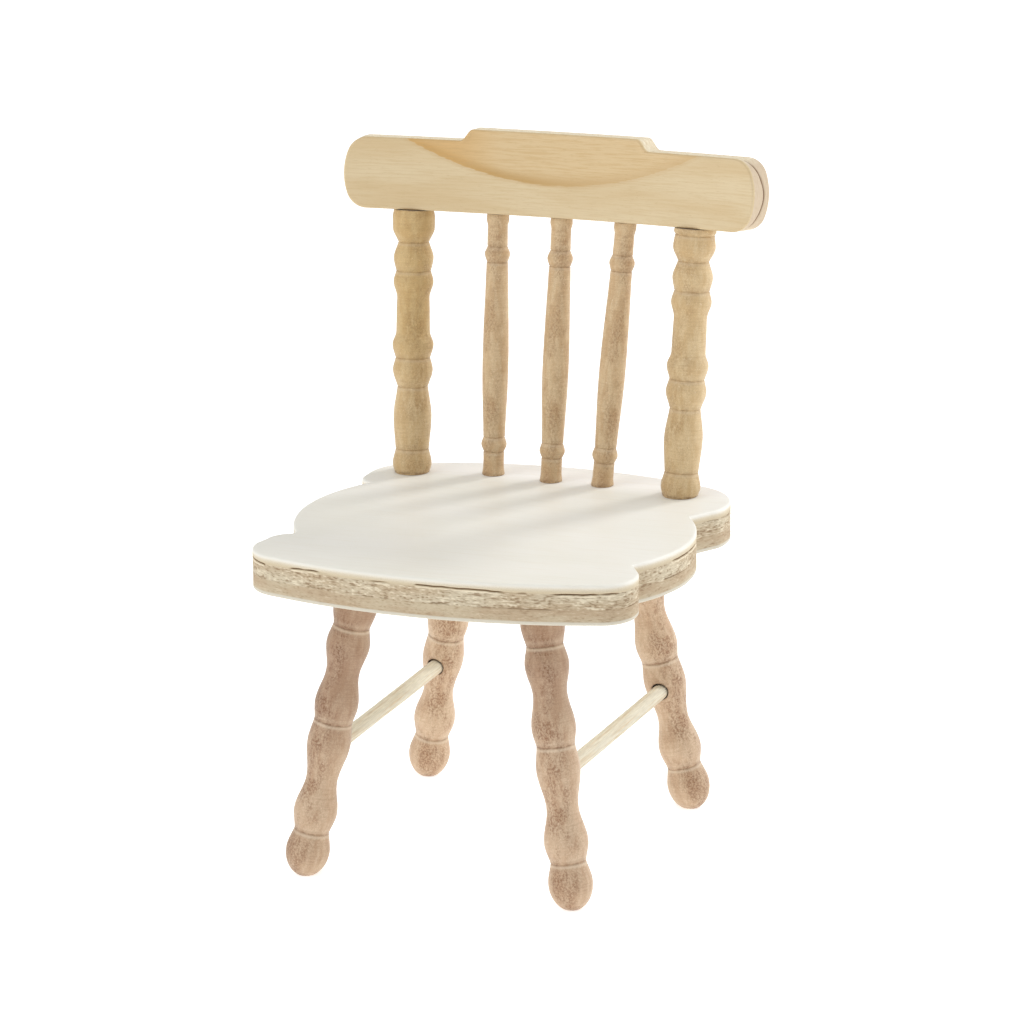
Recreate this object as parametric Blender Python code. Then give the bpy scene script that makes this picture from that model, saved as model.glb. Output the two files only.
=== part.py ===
"""A dolls' house side chair at about one twelfth scale, in metres, +Z up.

The chair faces -Y and stands on z = 0, with the origin under the middle of its box.
Left is -X and right is +X, as seen from in front of the chair.
The pieces are turned legs, posts and spindles, a sawn plywood seat, a bent crest rail and
two dowel stretchers. Every turned piece ends in a pin that sits in a drilled hole.
"""

import math

import bmesh
import bpy
from mathutils import Matrix, Vector

MM = 0.001

# Clearance around a pin and under a shoulder, where two pieces meet.
GAP = 0.3 * MM

# Seat: one board of plywood with three lobes along each side.
SEAT_TOP = 40.5 * MM
SEAT_THICKNESS = 4.9 * MM
SEAT_UNDERSIDE = SEAT_TOP - SEAT_THICKNESS
SEAT_ARRIS = 0.3 * MM
FRONT_EDGE_BULGE = 3.0 * MM
BACK_EDGE_BULGE = 3.3 * MM
SIDE_LOBE_BULGE = 3.3 * MM
# A round stretch is (centre across, centre back, radius), and it sweeps some degrees of a
# circle. The seat is sawn by hand, so its two sides differ a little.
FRONT_CORNER = {
    "left": (19.15 * MM, -17.3 * MM, 5.1 * MM),
    "right": (18.9 * MM, -17.0 * MM, 4.4 * MM),
}
FRONT_CORNER_SWEEP = 79
FRONT_SHOULDER = {
    "left": (20.8 * MM, -15.2 * MM, 3.0 * MM),
    "right": (18.9 * MM, -16.5 * MM, 4.4 * MM),
}
FRONT_SHOULDER_SWEEP = {"left": 70, "right": 28}
FRONT_NOTCH = {"left": (21.5 * MM, -11.5 * MM), "right": (21.35 * MM, -12.0 * MM)}
REAR_NOTCH = {"left": (21.75 * MM, 11.2 * MM), "right": (21.5 * MM, 9.3 * MM)}
REAR_SHOULDER = {
    "left": (20.35 * MM, 14.4 * MM, 2.9 * MM),
    "right": (19.75 * MM, 15.0 * MM, 4.45 * MM),
}
REAR_SHOULDER_SWEEP = {"left": 72, "right": 38}
REAR_CORNER = {
    "left": (16.4 * MM, 16.2 * MM, 6.85 * MM),
    "right": (16.7 * MM, 15.9 * MM, 7.5 * MM),
}
REAR_CORNER_SWEEP = 75

# Legs: where the middle of the ball foot stands, and where the axis meets the seat.
FOOT_CENTRE_Z = 3.0 * MM
LEGS = {
    "front_leg_left": ((-17.7 * MM, -19.0 * MM), (-11.63 * MM, -15.96 * MM)),
    "front_leg_right": ((16.0 * MM, -19.4 * MM), (11.3 * MM, -16.07 * MM)),
    "rear_leg_left": ((-16.7 * MM, 18.9 * MM), (-10.92 * MM, 16.94 * MM)),
    "rear_leg_right": ((18.5 * MM, 18.1 * MM), (11.3 * MM, 16.93 * MM)),
}
LEG_PIN_RADIUS = 1.3 * MM
LEG_PIN_LENGTH = 2.4 * MM
# A pin's hole is drilled from outside its board, this far before the shoulder.
DRILL_START = 1.5 * MM
# The block under the floor, which cuts the feet flat.
FLOOR_TRIM_SIZE = 80 * MM

# Stretchers: one plain dowel on each side, into a socket drilled in each leg.
STRETCHER_RADIUS = 0.95 * MM
STRETCHER_HEIGHTS = {"left": (15.3 * MM, 15.6 * MM), "right": (15.6 * MM, 15.6 * MM)}
SOCKET_RADIUS = STRETCHER_RADIUS + GAP
SOCKET_BOTTOM_TO_AXIS = 0.7 * MM

# Crest rail: a board bent in plan, with its ends forward, that leans back.
RAIL_FOOT = Vector((-0.3 * MM, 23.4 * MM, 73.3 * MM))
RAIL_LEAN = math.radians(6.4)
RAIL_BEND_RADIUS = 110.0 * MM
RAIL_THICKNESS = 4.0 * MM
RAIL_HALF_LENGTH = 27.35 * MM
RAIL_SHOULDER_HEIGHT = 8.9 * MM
RAIL_RAISED_HEIGHT = 10.35 * MM
RAISED_HALF_LENGTH = 10.9 * MM
RAISED_SLOPE_END = 12.5 * MM
RAIL_CORNER_RADIUS = 2.5 * MM
RAIL_END_BOW = 0.5 * MM
# The bowed end's widest place, as a share of the way from its corner to the middle.
RAIL_BOW_RISE = 0.6

# Back posts and spindles: where each stands on the seat, and how far along the rail it ends.
POSTS = {
    "back_post_left": ((-18.2 * MM, 18.2 * MM), -18.6 * MM),
    "back_post_right": ((17.3 * MM, 18.2 * MM), 18.4 * MM),
}
SPINDLES = {
    "spindle_left": ((-8.0 * MM, 20.2 * MM), -7.8 * MM),
    "spindle_centre": ((-0.05 * MM, 19.4 * MM), 0.5 * MM),
    "spindle_right": ((6.7 * MM, 19.5 * MM), 8.95 * MM),
}
POST_PIN_RADIUS = 1.2 * MM
SPINDLE_PIN_RADIUS = 0.85 * MM
BACK_PIN_LENGTH = 2.6 * MM

# Turned profiles: (millimetres up the axis, radius in millimetres, kind of turning).
# A bead is a crest, a neck is a hollow, a groove is a sharp cut and a step is a corner.
LEG_PROFILE = (
    (-3.35, 0.0, "groove"),
    (0.0, 2.65, "bead"),
    (2.57, 2.12, "groove"),
    (5.0, 2.62, "bead"),
    (9.1, 1.9, "neck"),
    (13.85, 2.61, "bead"),
    (16.6, 2.3, "groove"),
    (18.75, 2.62, "bead"),
    (22.75, 2.02, "neck"),
    (26.3, 2.62, "bead"),
    (28.6, 2.2, "groove"),
    (31.0, 2.62, "bead"),
)
LEG_SHOULDER_RADIUS = 2.2

# The posts' and spindles' heights are shares of the length between the seat and the rail.
POST_PROFILE = (
    (0.0, 2.4, "step"),
    (0.033, 2.56, "bead"),
    (0.088, 2.09, "neck"),
    (0.217, 2.36, "bead"),
    (0.328, 1.92, "neck"),
    (0.396, 2.5, "bead"),
    (0.438, 2.18, "neck"),
    (0.488, 2.56, "bead"),
    (0.542, 2.1, "neck"),
    (0.665, 2.03, "neck"),
    (0.725, 2.48, "bead"),
    (0.768, 2.19, "neck"),
    (0.815, 2.49, "bead"),
    (0.874, 1.94, "neck"),
    (0.95, 2.67, "bead"),
    (1.0, 2.52, "step"),
)
SPINDLE_PROFILE = (
    (0.0, 1.3, "step"),
    (0.085, 1.3, "neck"),
    (0.115, 1.58, "bead"),
    (0.145, 1.36, "neck"),
    (0.42, 1.62, "bead"),
    (0.81, 1.38, "neck"),
    (0.845, 1.58, "bead"),
    (0.875, 1.27, "neck"),
    (1.0, 1.27, "step"),
)

# The chair is laid out round its feet, and the middle of its box is a little off that.
BOX_MIDDLE = Vector((-0.3 * MM, 0.865 * MM, 0.0))

# How finely the solids are cut into faces. Round stretches are cut into steps.
CORNER_STEPS = 5
SHOULDER_STEPS = 3
EDGE_STEPS = 10
RAIL_STEPS = 8
RAIL_SLOPE_STEPS = 4
RAIL_CORNER_STEPS = 4
LEG_SEGMENTS = 16
SPINDLE_SEGMENTS = 12
CUTTER_SEGMENTS = 16
STEPS_PER_TURNING = 3
SMOOTH_ANGLE = math.radians(40)

# Colours as seen, in 0 to 255 display values, with a roughness for each.
CREAM_PLYWOOD = (228, 220, 203, 0.6)
HONEY_PLYWOOD = (215, 193, 153, 0.55)
PINKISH_TURNING = (183, 151, 125, 0.6)
GOLDEN_TURNING = (190, 160, 116, 0.6)
TAN_TURNING = (198, 169, 131, 0.6)
PALE_DOWEL = (228, 219, 193, 0.6)


def linear(display_value):
    """One display colour value as the linear value that a shader works in."""
    share = display_value / 255
    if share <= 0.04045:
        return share / 12.92
    return ((share + 0.055) / 1.055) ** 2.4


def wood(name, look):
    """A plain wood material, in a colour and roughness from the list above."""
    red, green, blue, roughness = look
    material = bpy.data.materials.new(name)
    material.use_nodes = True
    shader = material.node_tree.nodes["Principled BSDF"]
    shader.inputs["Base Color"].default_value = (linear(red), linear(green), linear(blue), 1.0)
    shader.inputs["Roughness"].default_value = roughness
    shader.inputs["Metallic"].default_value = 0.0
    return material


def object_from(name, mesh_builder, material=None):
    """A smooth-shaded object made from a bmesh, which it frees."""
    bmesh.ops.remove_doubles(mesh_builder, verts=mesh_builder.verts, dist=1e-7)
    bmesh.ops.recalc_face_normals(mesh_builder, faces=mesh_builder.faces)
    mesh = bpy.data.meshes.new(name)
    mesh_builder.to_mesh(mesh)
    mesh_builder.free()
    mesh.shade_smooth()
    mesh.set_sharp_from_angle(angle=SMOOTH_ANGLE)
    piece = bpy.data.objects.new(name, mesh)
    bpy.context.scene.collection.objects.link(piece)
    if material:
        mesh.materials.append(material)
    return piece


def hide_as_cutter(piece):
    """Marks an object as a tool that cuts others and isn't a piece of the chair."""
    piece.hide_render = True
    piece.display_type = "WIRE"


def cut(piece, cutter):
    """Takes the cutter's shape out of a piece."""
    modifier = piece.modifiers.new("cut_" + cutter.name, "BOOLEAN")
    modifier.operation = "DIFFERENCE"
    modifier.solver = "EXACT"
    modifier.object = cutter


def stand_between(piece, start, end):
    """Puts a piece's origin at start and turns its own Z towards end."""
    piece.location = start
    piece.rotation_mode = "QUATERNION"
    piece.rotation_quaternion = (end - start).to_track_quat("Z", "Y")


def turning_between(low, high, steps):
    """Points of a profile from one turning up to the next, without the first point."""
    low_z, low_radius, low_kind = low
    high_z, high_radius, high_kind = high
    points = []
    for step in range(1, steps + 1):
        share = step / steps
        if "step" in (low_kind, high_kind):
            blend = share
        elif low_kind == "groove":
            share = 1 - math.cos(share * math.pi / 2)
            blend = math.sqrt(1 - (1 - share) ** 2)
        elif high_kind == "groove":
            share = math.sin(share * math.pi / 2)
            blend = 1 - math.sqrt(1 - share ** 2)
        else:
            blend = (1 - math.cos(share * math.pi)) / 2
        z = low_z + (high_z - low_z) * share
        points.append((low_radius + (high_radius - low_radius) * blend, z))
    return points


def profile_points(turnings):
    """The whole profile as (radius, height) pairs, from the bottom up."""
    points = [(turnings[0][1], turnings[0][0])]
    for low, high in zip(turnings, turnings[1:]):
        points += turning_between(low, high, STEPS_PER_TURNING)
    return points


def lathe(name, outline, segments, material=None):
    """A closed turned solid around its own Z, from (radius, height) pairs that go up."""
    closed = list(outline) + [(0.0, outline[-1][1])]
    if closed[0][0] > 0:
        closed.insert(0, (0.0, closed[0][1]))
    builder = bmesh.new()
    verts = [builder.verts.new((radius, 0.0, z)) for radius, z in closed]
    edges = [builder.edges.new(pair) for pair in zip(verts, verts[1:])]
    bmesh.ops.spin(
        builder,
        geom=verts + edges,
        cent=(0.0, 0.0, 0.0),
        axis=(0.0, 0.0, 1.0),
        angle=2 * math.pi,
        steps=segments,
        use_merge=True,
    )
    bmesh.ops.dissolve_degenerate(builder, edges=builder.edges, dist=1e-7)
    return object_from(name, builder, material)


def drill(name, radius, start, end):
    """A round cutter from start to end."""
    length = (end - start).length
    outline = ((radius, 0.0), (radius, length))
    bit = lathe(name, outline, CUTTER_SEGMENTS)
    stand_between(bit, start, end)
    hide_as_cutter(bit)
    return bit


def arc(centre_x, centre_y, radius, start_degrees, end_degrees, steps):
    """Points along a round stretch, both ends included."""
    points = []
    for step in range(steps + 1):
        angle = math.radians(start_degrees + (end_degrees - start_degrees) * step / steps)
        points.append((centre_x + radius * math.cos(angle), centre_y + radius * math.sin(angle)))
    return points


def bulge(start, end, height, steps):
    """Points along a shallow arc between two points, which stands out to the right of the way."""
    chord = Vector(end) - Vector(start)
    half = chord.length / 2
    radius = (half ** 2 + height ** 2) / (2 * height)
    outward = Vector((chord.y, -chord.x)).normalized()
    middle = (Vector(start) + Vector(end)) / 2
    centre = middle - outward * (radius - height)
    half_angle = math.asin(half / radius)
    points = []
    for step in range(steps + 1):
        angle = half_angle * (2 * step / steps - 1)
        along = chord.normalized() * (radius * math.sin(angle))
        points.append(tuple(centre + outward * (radius * math.cos(angle)) + along))
    return points


def side_outline(side):
    """One side of the seat from its front corner to its rear corner, as if on the right."""
    points = arc(*FRONT_CORNER[side], -FRONT_CORNER_SWEEP, 0, CORNER_STEPS)
    points += arc(*FRONT_SHOULDER[side], 0, FRONT_SHOULDER_SWEEP[side], SHOULDER_STEPS)
    points += bulge(FRONT_NOTCH[side], REAR_NOTCH[side], SIDE_LOBE_BULGE, EDGE_STEPS)
    points += arc(*REAR_SHOULDER[side], -REAR_SHOULDER_SWEEP[side], 0, SHOULDER_STEPS)
    points += arc(*REAR_CORNER[side], 0, REAR_CORNER_SWEEP, CORNER_STEPS)
    return points


def seat_outline():
    """The seat's edge as seen from above, anticlockwise."""
    right = side_outline("right")
    left = [(-x, y) for x, y in reversed(side_outline("left"))]
    back = bulge(right[-1], left[0], BACK_EDGE_BULGE, EDGE_STEPS)
    front = bulge(left[-1], right[0], FRONT_EDGE_BULGE, EDGE_STEPS)
    return right + back[1:-1] + left + front[1:-1]


def make_seat(material):
    """The seat board, with its upper and lower arrises softened."""
    builder = bmesh.new()
    low = [builder.verts.new((x, y, SEAT_UNDERSIDE)) for x, y in seat_outline()]
    bottom = builder.faces.new(list(reversed(low)))
    grown = bmesh.ops.extrude_face_region(builder, geom=[bottom])["geom"]
    raised = [item for item in grown if isinstance(item, bmesh.types.BMVert)]
    bmesh.ops.translate(builder, verts=raised, vec=(0.0, 0.0, SEAT_THICKNESS))
    rims = [edge for edge in builder.edges if abs(edge.verts[0].co.z - edge.verts[1].co.z) < 1e-7]
    bmesh.ops.bevel(builder, geom=rims, offset=SEAT_ARRIS, segments=1, affect="EDGES")
    return object_from("seat", builder, material)


def rail_point(along, height, depth):
    """A place on the bent and leaning rail: along its bend, up its face and back from its middle."""
    turn = along / RAIL_BEND_RADIUS
    reach = RAIL_BEND_RADIUS + depth
    back = reach * math.cos(turn) - RAIL_BEND_RADIUS
    y = back * math.cos(RAIL_LEAN) + height * math.sin(RAIL_LEAN)
    z = height * math.cos(RAIL_LEAN) - back * math.sin(RAIL_LEAN)
    return RAIL_FOOT + Vector((reach * math.sin(turn), y, z))


def rail_top(along):
    """The rail's height at a distance from its middle, before its corners are rounded."""
    distance = abs(along)
    if distance <= RAISED_HALF_LENGTH:
        return RAIL_RAISED_HEIGHT
    if distance >= RAISED_SLOPE_END:
        return RAIL_SHOULDER_HEIGHT
    share = (distance - RAISED_HALF_LENGTH) / (RAISED_SLOPE_END - RAISED_HALF_LENGTH)
    drop = RAIL_RAISED_HEIGHT - RAIL_SHOULDER_HEIGHT
    return RAIL_RAISED_HEIGHT - drop * (1 - math.cos(share * math.pi)) / 2


def rail_columns():
    """Where the rail is cut across, as (distance along, lowest height, highest height)."""
    flat_end = RAIL_HALF_LENGTH - RAIL_END_BOW
    corner_start = flat_end - RAIL_CORNER_RADIUS
    half = [(corner_start * step / RAIL_STEPS, 0.0) for step in range(RAIL_STEPS + 1)]
    slope_step = (RAISED_SLOPE_END - RAISED_HALF_LENGTH) / RAIL_SLOPE_STEPS
    for step in range(RAIL_SLOPE_STEPS + 1):
        half.append((RAISED_HALF_LENGTH + slope_step * step, 0.0))
    for step in range(1, RAIL_CORNER_STEPS + 1):
        angle = math.pi / 2 * step / RAIL_CORNER_STEPS
        across = corner_start + RAIL_CORNER_RADIUS * math.sin(angle)
        half.append((across, RAIL_CORNER_RADIUS * (1 - math.cos(angle))))
    bow_rise = (RAIL_SHOULDER_HEIGHT / 2 - RAIL_CORNER_RADIUS) * RAIL_BOW_RISE
    half.append((RAIL_HALF_LENGTH, RAIL_CORNER_RADIUS + bow_rise))
    half.sort()
    whole = [(-along, inset) for along, inset in reversed(half[1:])] + half
    return [(along, inset, rail_top(along) - inset) for along, inset in whole]


def make_crest_rail(material):
    """The rail, lofted through its cross cuts."""
    builder = bmesh.new()
    front, back = -RAIL_THICKNESS / 2, RAIL_THICKNESS / 2
    rings = []
    for along, low, high in rail_columns():
        corners = ((low, front), (high, front), (high, back), (low, back))
        rings.append([builder.verts.new(rail_point(along, *corner)) for corner in corners])
    for left, right in zip(rings, rings[1:]):
        for side in range(4):
            after = (side + 1) % 4
            builder.faces.new((left[side], left[after], right[after], right[side]))
    builder.faces.new(rings[0])
    builder.faces.new(rings[-1])
    return object_from("crest_rail", builder, material)


def make_leg(name, material):
    """A leg from its ball foot up to the pin in the seat, trimmed flat on the floor."""
    foot_place, top_place = LEGS[name]
    foot = Vector((*foot_place, FOOT_CENTRE_Z))
    top = Vector((*top_place, SEAT_UNDERSIDE))
    length = (top - foot).length
    outline = [(radius * MM, z * MM) for radius, z in profile_points(LEG_PROFILE)]
    shoulder = length - 2 * GAP
    outline.append((LEG_SHOULDER_RADIUS * MM, shoulder))
    outline.append((LEG_PIN_RADIUS, shoulder))
    outline.append((LEG_PIN_RADIUS, length + LEG_PIN_LENGTH))
    leg = lathe(name, outline, LEG_SEGMENTS, material)
    stand_between(leg, foot, top)
    along = (top - foot).normalized()
    hole_end = top + along * (LEG_PIN_LENGTH + GAP)
    hole = drill(name + "_hole", LEG_PIN_RADIUS + GAP, top - along * DRILL_START, hole_end)
    return leg, hole, (foot, top)


def make_floor_trim():
    """A block under the floor that cuts the feet flat."""
    builder = bmesh.new()
    place = Matrix.Translation((0.0, 0.0, -FLOOR_TRIM_SIZE / 2))
    bmesh.ops.create_cube(builder, size=FLOOR_TRIM_SIZE, matrix=place)
    block = object_from("floor_trim", builder)
    hide_as_cutter(block)
    return block


def point_at_height(axis, z):
    """Where a leg's axis is at a height."""
    foot, top = axis
    return foot + (top - foot) * ((z - foot.z) / (top.z - foot.z))


def make_stretcher(side, front_leg, front_axis, rear_leg, rear_axis, material):
    """One side's dowel and the two sockets that it is pushed into."""
    front_z, rear_z = STRETCHER_HEIGHTS[side]
    front = point_at_height(front_axis, front_z)
    rear = point_at_height(rear_axis, rear_z)
    along = (rear - front).normalized()
    middle = (front + rear) / 2
    for leg, centre, way in ((front_leg, front, along), (rear_leg, rear, -along)):
        socket_bottom = centre + way * SOCKET_BOTTOM_TO_AXIS
        cut(leg, drill(leg.name + "_socket", SOCKET_RADIUS, socket_bottom, middle))
    inset = SOCKET_BOTTOM_TO_AXIS + GAP
    length = (rear - front).length - 2 * inset
    outline = ((STRETCHER_RADIUS, 0.0), (STRETCHER_RADIUS, length))
    dowel = lathe("side_stretcher_" + side, outline, SPINDLE_SEGMENTS, material)
    stand_between(dowel, front + along * inset, rear)


def make_back_member(name, place, along_rail, profile, pin_radius, segments, material):
    """A post or spindle between the seat and the rail, and the cutters for its two pin holes."""
    base = Vector((*place, SEAT_TOP))
    top = rail_point(along_rail, 0.0, 0.0)
    length = (top - base).length
    span = length - 2 * GAP
    stations = [(share * span, radius * MM, kind) for share, radius, kind in profile]
    outline = [(radius, z + GAP) for radius, z in profile_points(stations)]
    outline = [(pin_radius, -BACK_PIN_LENGTH), (pin_radius, GAP)] + outline
    outline += [(pin_radius, length - GAP), (pin_radius, length + BACK_PIN_LENGTH)]
    member = lathe(name, outline, segments, material)
    stand_between(member, base, top)
    along = (top - base).normalized()
    reach = BACK_PIN_LENGTH + GAP
    bore = pin_radius + GAP
    lower = drill(name + "_seat_hole", bore, base - along * reach, base + along * DRILL_START)
    upper = drill(name + "_rail_hole", bore, top - along * DRILL_START, top + along * reach)
    return lower, upper


def build_chair():
    """Every piece of the chair, with its holes cut."""
    pinkish = wood("pinkish_turning", PINKISH_TURNING)
    dowel = wood("pale_dowel", PALE_DOWEL)
    seat = make_seat(wood("cream_plywood", CREAM_PLYWOOD))
    rail = make_crest_rail(wood("honey_plywood", HONEY_PLYWOOD))
    floor_trim = make_floor_trim()

    legs = {}
    for name in LEGS:
        leg, hole, axis = make_leg(name, pinkish)
        cut(leg, floor_trim)
        cut(seat, hole)
        legs[name] = (leg, axis)
    for side in STRETCHER_HEIGHTS:
        make_stretcher(side, *legs["front_leg_" + side], *legs["rear_leg_" + side], dowel)

    golden = wood("golden_turning", GOLDEN_TURNING)
    tan = wood("tan_turning", TAN_TURNING)
    sets = (
        (POSTS, POST_PROFILE, POST_PIN_RADIUS, LEG_SEGMENTS, golden),
        (SPINDLES, SPINDLE_PROFILE, SPINDLE_PIN_RADIUS, SPINDLE_SEGMENTS, tan),
    )
    for members, profile, pin_radius, segments, turning in sets:
        for name, (place, along_rail) in members.items():
            lower, upper = make_back_member(
                name, place, along_rail, profile, pin_radius, segments, turning
            )
            cut(seat, lower)
            cut(rail, upper)


for old in list(bpy.data.objects):
    bpy.data.objects.remove(old, do_unlink=True)
build_chair()
for piece in bpy.data.objects:
    piece.location -= BOX_MIDDLE
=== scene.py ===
"""The looks of a dolls' house side chair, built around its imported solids.

Every piece replaces one CAD node with a finely modelled one. Places come from the frame: a
turned piece's axis from its node's pins, and the seat and the rail from their boxes.
Shapes are worked out in millimetres, and MM turns them into metres.
"""

import itertools
import math

import bpy
import numpy as np
from mathutils import Matrix, Vector
from mathutils.geometry import delaunay_2d_cdt


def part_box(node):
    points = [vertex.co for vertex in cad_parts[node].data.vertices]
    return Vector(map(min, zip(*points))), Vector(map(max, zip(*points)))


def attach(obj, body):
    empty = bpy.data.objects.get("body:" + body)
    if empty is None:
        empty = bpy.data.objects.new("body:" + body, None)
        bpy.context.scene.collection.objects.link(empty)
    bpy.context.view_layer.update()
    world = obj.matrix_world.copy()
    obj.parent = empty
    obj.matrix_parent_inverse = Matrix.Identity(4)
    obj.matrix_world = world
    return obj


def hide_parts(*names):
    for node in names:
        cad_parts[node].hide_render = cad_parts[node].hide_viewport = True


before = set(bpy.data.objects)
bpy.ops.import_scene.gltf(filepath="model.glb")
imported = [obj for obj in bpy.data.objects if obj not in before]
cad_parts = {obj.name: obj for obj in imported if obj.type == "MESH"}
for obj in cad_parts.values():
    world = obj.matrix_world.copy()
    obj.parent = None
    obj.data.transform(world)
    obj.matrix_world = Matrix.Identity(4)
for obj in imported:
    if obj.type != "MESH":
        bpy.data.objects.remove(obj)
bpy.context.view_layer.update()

MM = 0.001

# The frame's main planes and the lean of the crest rail.
FLOOR = 0.0
SEAT_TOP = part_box("seat")[1].z / MM
SEAT_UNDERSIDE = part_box("seat")[0].z / MM
SEAT_THICKNESS = SEAT_TOP - SEAT_UNDERSIDE
RAIL_LEAN = math.radians(6.4)
RAIL_UP = Vector((0.0, math.sin(RAIL_LEAN), math.cos(RAIL_LEAN)))

# Seat outline, as (centre across, centre back, radius) for each round stretch. It is sawn by
# hand, so its two sides differ a little.
FRONT_CORNER = {"left": (19.15, -17.3, 5.1), "right": (18.9, -17.0, 4.4)}
FRONT_CORNER_SWEEP = 79
FRONT_SHOULDER = {"left": (20.8, -15.2, 3.0), "right": (18.9, -16.5, 4.4)}
FRONT_SHOULDER_SWEEP = {"left": 70, "right": 28}
FRONT_NOTCH = {"left": (21.5, -11.5), "right": (21.35, -12.0)}
REAR_NOTCH = {"left": (21.75, 11.2), "right": (21.5, 9.3)}
REAR_SHOULDER = {"left": (20.35, 14.4, 2.9), "right": (19.75, 15.0, 4.45)}
REAR_SHOULDER_SWEEP = {"left": 72, "right": 38}
REAR_CORNER = {"left": (16.4, 16.2, 6.85), "right": (16.7, 15.9, 7.5)}
REAR_CORNER_SWEEP = 75
FRONT_EDGE_BULGE = 3.0
BACK_EDGE_BULGE = 3.3
SIDE_LOBE_BULGE = 3.3
# The outline is laid out round the feet, and the middle of the chair's box is a little off that.
BOX_MIDDLE = (-0.3, 0.865)
CORNER_STEPS = 40
SHOULDER_STEPS = 20
EDGE_STEPS = 80

# Crest rail, along its bend and up its face.
RAIL_BEND_RADIUS = 110.0
RAIL_THICKNESS = 4.0
RAIL_HALF_LENGTH = 27.35
RAIL_SHOULDER_HEIGHT = 8.9
RAIL_RAISED_HEIGHT = 10.35
RAISED_HALF_LENGTH = 10.9
RAISED_SLOPE_END = 12.5
RAIL_CORNER_RADIUS = 2.7
RAIL_CORNER_SWEEP = 70
RAIL_CORNER_STEPS = 16
RAIL_END_STEPS = 20
RAIL_TOP_STEPS = 299
RAIL_BOTTOM_STEPS = 199

# The hollow on the rail's face: its lower edge is a parabola, and it is planed a little deeper.
HOLLOW_LOWEST = 3.9
HOLLOW_RISE = 0.013
HOLLOW_DEPTH = 0.16
HOLLOW_SLOPE = 0.9

# Pins, their holes, the dowels and their sockets.
LEG_PIN_RADIUS = 1.3
LEG_PIN_LENGTH = 2.4
POST_PIN_RADIUS = 1.2
SPINDLE_PIN_RADIUS = 0.85
BACK_PIN_LENGTH = 2.6
PIN_CLEARANCE = 0.12
HOLE_RUN_OUT = 1.0
HOLE_SPARE = 0.2
DOWEL_RADIUS = 0.95
DOWEL_EASE = 0.12
SOCKET_RADIUS = 1.12
SOCKET_LIFT = 0.1
SOCKET_DEPTH = 4.7
SOCKET_RUN_OUT = 0.3

# Turned profiles: (height up the axis, radius, kind of turning). A bead is a crest, a neck is a
# hollow, a groove is a sharp cut and a step is a corner. Legs are in millimetres from the ball's
# middle, and posts and spindles are in shares of the length between the seat and the rail.
FOOT_CENTRE_Z = 3.0
LEG_PROFILE = (
    (-3.35, 0.0, "tip"), (0.0, 2.65, "bead"), (2.57, 2.12, "groove"), (5.0, 2.62, "bead"),
    (9.1, 1.9, "neck"), (13.85, 2.61, "bead"), (16.6, 2.29, "groove"), (18.75, 2.62, "bead"),
    (22.75, 2.02, "neck"), (26.3, 2.62, "bead"), (28.6, 2.2, "groove"), (31.0, 2.62, "bead"),
)
LEG_SHOULDER_RADIUS = 2.2
POST_PROFILE = (
    (0.0, 2.2, "step"), (0.033, 2.46, "bead"), (0.088, 2.11, "groove"), (0.212, 2.39, "bead"),
    (0.326, 1.93, "groove"), (0.391, 2.51, "bead"), (0.436, 2.19, "groove"),
    (0.486, 2.58, "bead"), (0.537, 2.12, "neck"), (0.6, 2.1, "neck"), (0.665, 2.05, "neck"),
    (0.725, 2.5, "bead"), (0.766, 2.2, "groove"), (0.815, 2.5, "bead"), (0.875, 1.95, "groove"),
    (0.928, 2.63, "bead"), (0.965, 2.66, "bead"), (1.0, 2.5, "step"),
)
# The right post has a narrow collar under the rail.
POST_COLLAR = (
    (0.928, 2.63, "bead"), (0.973, 2.46, "groove"), (0.986, 2.62, "bead"), (1.0, 2.54, "step"),
)
SPINDLE_PROFILE = (
    (0.0, 1.42, "step"), (0.035, 1.3, "neck"), (0.088, 1.31, "groove"), (0.115, 1.6, "bead"),
    (0.145, 1.36, "groove"), (0.42, 1.64, "bead"), (0.815, 1.34, "groove"), (0.845, 1.59, "bead"),
    (0.875, 1.27, "groove"), (0.95, 1.24, "neck"), (0.98, 1.4, "bead"), (1.0, 1.36, "step"),
)
GROOVE_HALF_WIDTH = 0.08
GROOVE_DEPTH = 0.08
PROFILE_STEP = 0.12

# The unevenness of a turned piece, as (how deep, waves across a millimetre, waves along it).
TURNED_RELIEF = ((0.022, 0.9, 0.1), (0.012, 4.0, 0.35), (0.006, 14.0, 1.6))
TOOL_MARK_DEPTH = 0.009
TOOL_MARKS_PER_MM = 2.6

NOISE_TABLE = 4096
HASH = (73856093, 19349663, 83492791)


def noise(points, seed):
    """Smooth noise from -1 to 1 at each of an (n, 3) array of points, one unit to a feature."""
    table = np.random.default_rng(seed).uniform(-1.0, 1.0, NOISE_TABLE)
    cell = np.floor(points).astype(np.int64)
    share = points - cell
    share = share * share * (3 - 2 * share)
    total = np.zeros(len(points))
    for corner in itertools.product((0, 1), repeat=3):
        keys = (cell + corner) * HASH
        key = keys[:, 0] ^ keys[:, 1] ^ keys[:, 2]
        weight = np.prod(np.where(corner, share, 1 - share), axis=1)
        total += weight * table[key % NOISE_TABLE]
    return total


def smooth_step(value, low, high):
    """0 below low and 1 above high, with a soft way between them."""
    share = np.clip((value - low) / (high - low), 0.0, 1.0)
    return share * share * (3 - 2 * share)


def bell(value, width):
    """1 where the value is 0, falling off softly over a width on both sides."""
    return np.exp(-((value / width) ** 2))


def placed(name, data):
    """A new object in the scene."""
    piece = bpy.data.objects.new(name, data)
    bpy.context.scene.collection.objects.link(piece)
    return piece


def mesh_object(name, points, faces):
    """An object from points in millimetres, with no material yet."""
    mesh = bpy.data.meshes.new(name)
    mesh.from_pydata((np.asarray(points) * MM).tolist(), [], faces)
    return placed(name, mesh)


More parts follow.
